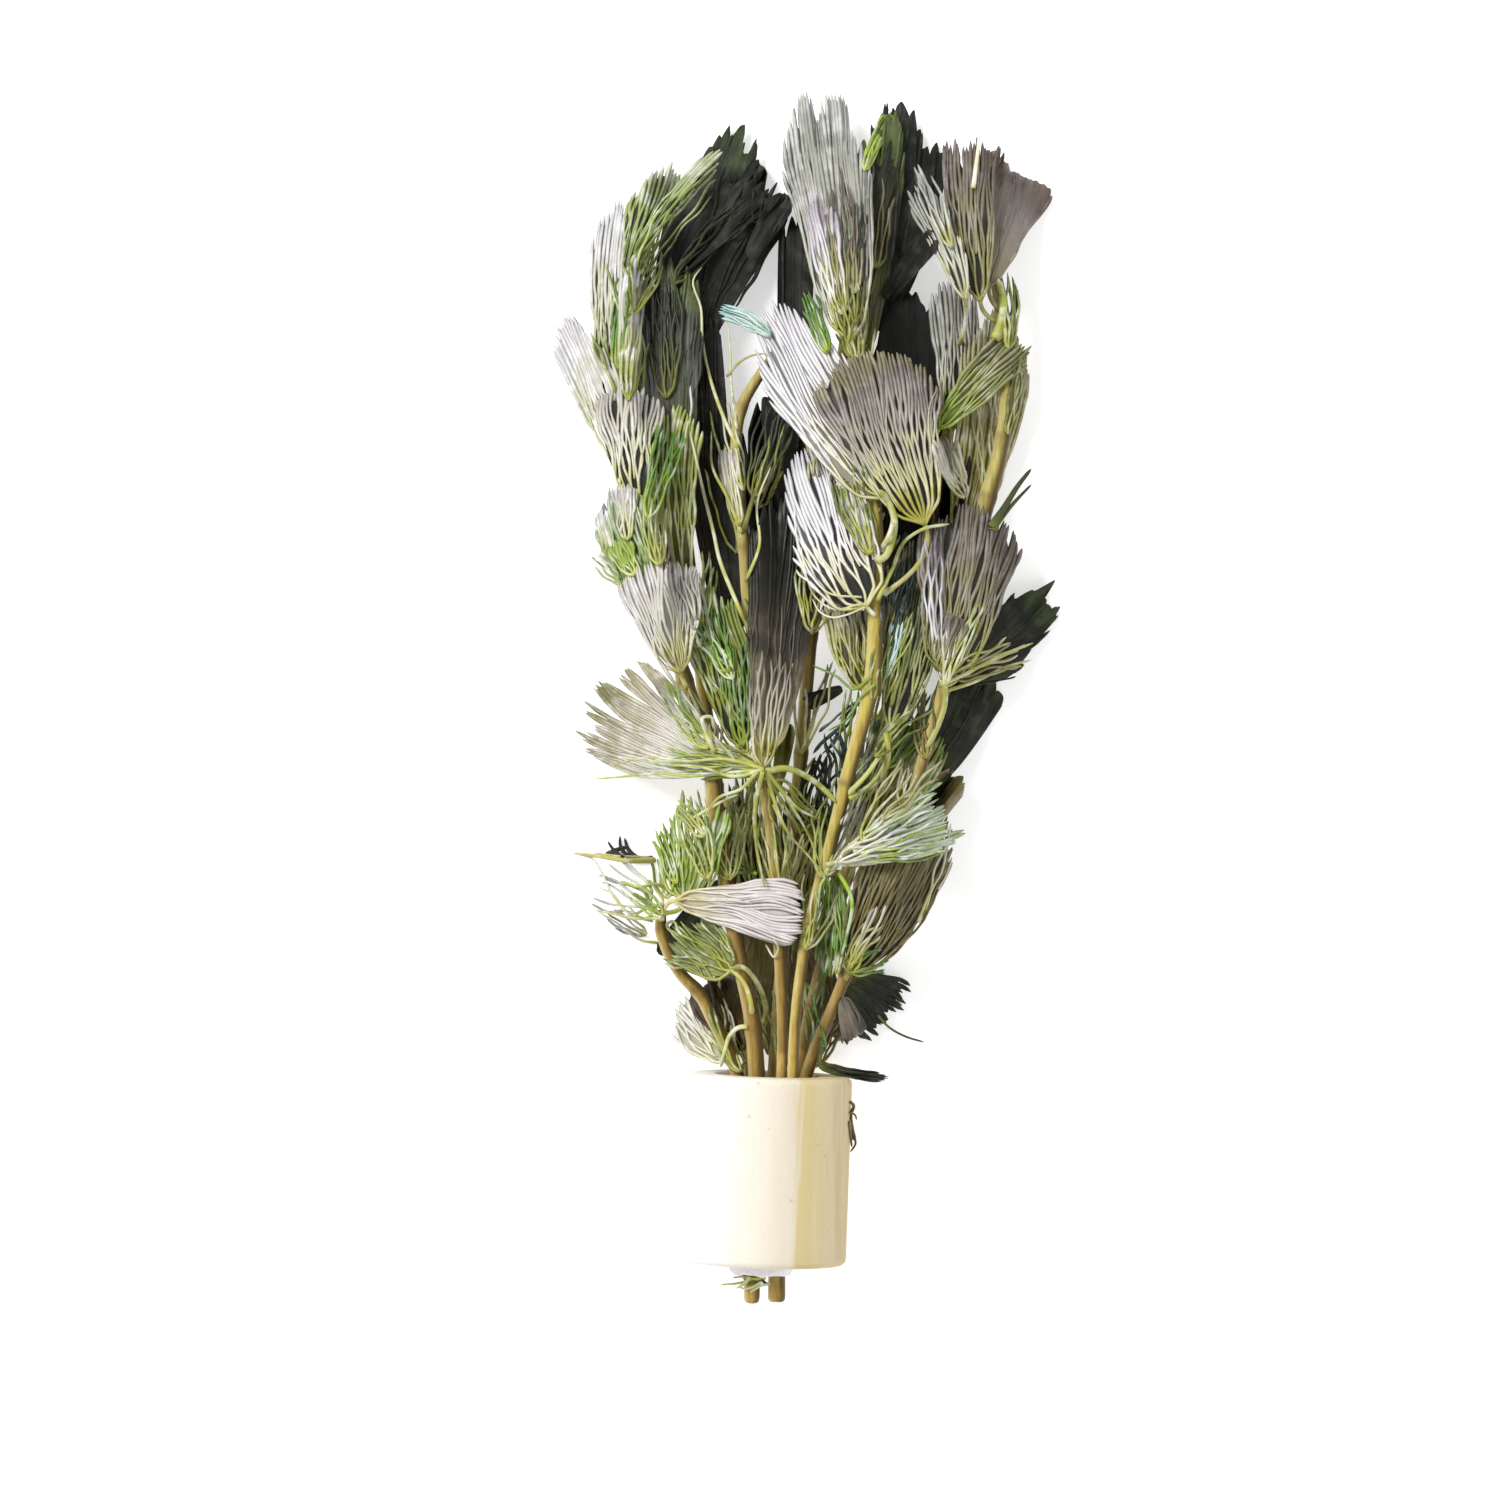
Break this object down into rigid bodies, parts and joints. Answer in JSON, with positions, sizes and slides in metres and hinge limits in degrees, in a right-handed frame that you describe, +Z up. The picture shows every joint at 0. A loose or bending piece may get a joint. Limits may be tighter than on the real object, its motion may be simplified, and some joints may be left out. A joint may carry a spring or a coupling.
{
  "type": "bunch of cut cabomba stems in a ceramic ring",
  "caption": "Bunch of cut fanwort water weed lying on its side, its stems held by a foam plug in a short plain ceramic ring.",
  "frame": {"origin": "middle of the bunch's footprint, on the surface that it lies on", "axes": "+Y along the ring's axis from the cut ends towards the leaf tips, +Z up from the surface"},
  "size_m": [0.0874, 0.2008, 0.0293],
  "materials": {
    "clay": "matte",
    "foam": "matte",
    "leaf_black": "satin",
    "leaf_bright": "satin",
    "leaf_brown": "satin",
    "leaf_green": "satin",
    "leaf_mauve": "satin",
    "leaf_olive": "satin",
    "leaf_silver": "satin",
    "stem_green": "satin",
    "stem_tan": "satin"
  },
  "bodies": {
    "root": {"ceramic_ring": "clay", "foam_plug": "foam", "leaf_black_arrow": "leaf_black", "leaf_black_core": "leaf_black", "leaf_black_crown": "leaf_black", "leaf_black_round": "leaf_black", "leaf_black_shoulder": "leaf_black", "leaf_black_top_middle": "leaf_black", "leaf_black_top_right": "leaf_black", "leaf_black_wedge": "leaf_black", "leaf_bright_right": "leaf_bright", "leaf_brown_far_right": "leaf_brown", "leaf_brown_near": "leaf_brown", "leaf_brown_right_upper": "leaf_brown", "leaf_dark_centre": "leaf_brown", "leaf_dark_centre_near": "leaf_black", "leaf_fan_left": "leaf_mauve", "leaf_green_behind": "leaf_green", "leaf_green_centre_left": "leaf_green", "leaf_green_folded": "leaf_bright", "leaf_green_hanging": "leaf_green", "leaf_green_left": "leaf_bright", "leaf_green_left_inner": "leaf_green", "leaf_green_left_top": "leaf_bright", "leaf_green_near_left": "leaf_green", "leaf_grey_left": "leaf_silver", "leaf_mauve_fan": "leaf_mauve", "leaf_mauve_left": "leaf_mauve", "leaf_mauve_right": "leaf_mauve", "leaf_net_near_right": "leaf_black", "leaf_olive_centre_right": "leaf_olive", "leaf_olive_centre_top": "leaf_olive", "leaf_olive_left_long": "leaf_olive", "leaf_olive_near_right": "leaf_brown", "leaf_olive_right_inner": "leaf_olive", "leaf_olive_top_right": "leaf_olive", "leaf_pale_left": "leaf_silver", "leaf_rim_right": "leaf_black", "leaf_silver_far_left": "leaf_silver", "leaf_silver_left_edge": "leaf_silver", "leaf_silver_near_left": "leaf_silver", "leaf_silver_net": "leaf_silver", "leaf_silver_right_inner": "leaf_silver", "leaf_silver_right_top": "leaf_silver", "leaf_silver_top": "leaf_silver", "leaf_spiky_dark": "leaf_black", "leaf_streak_left_top": "leaf_silver", "leaf_streaks_right_top": "leaf_mauve", "leaf_white_long": "leaf_silver", "leaf_white_near": "leaf_silver", "leaf_white_right": "leaf_silver", "leaf_yellow_left": "leaf_bright", "stem_centre_low": "stem_tan", "stem_left": "stem_tan", "stem_left_low": "stem_tan", "stem_left_short": "stem_tan", "stem_middle": "stem_tan", "stem_middle_main": "stem_green", "stem_right": "stem_tan", "stem_right_low": "stem_tan"}
  },
  "joints": []
}
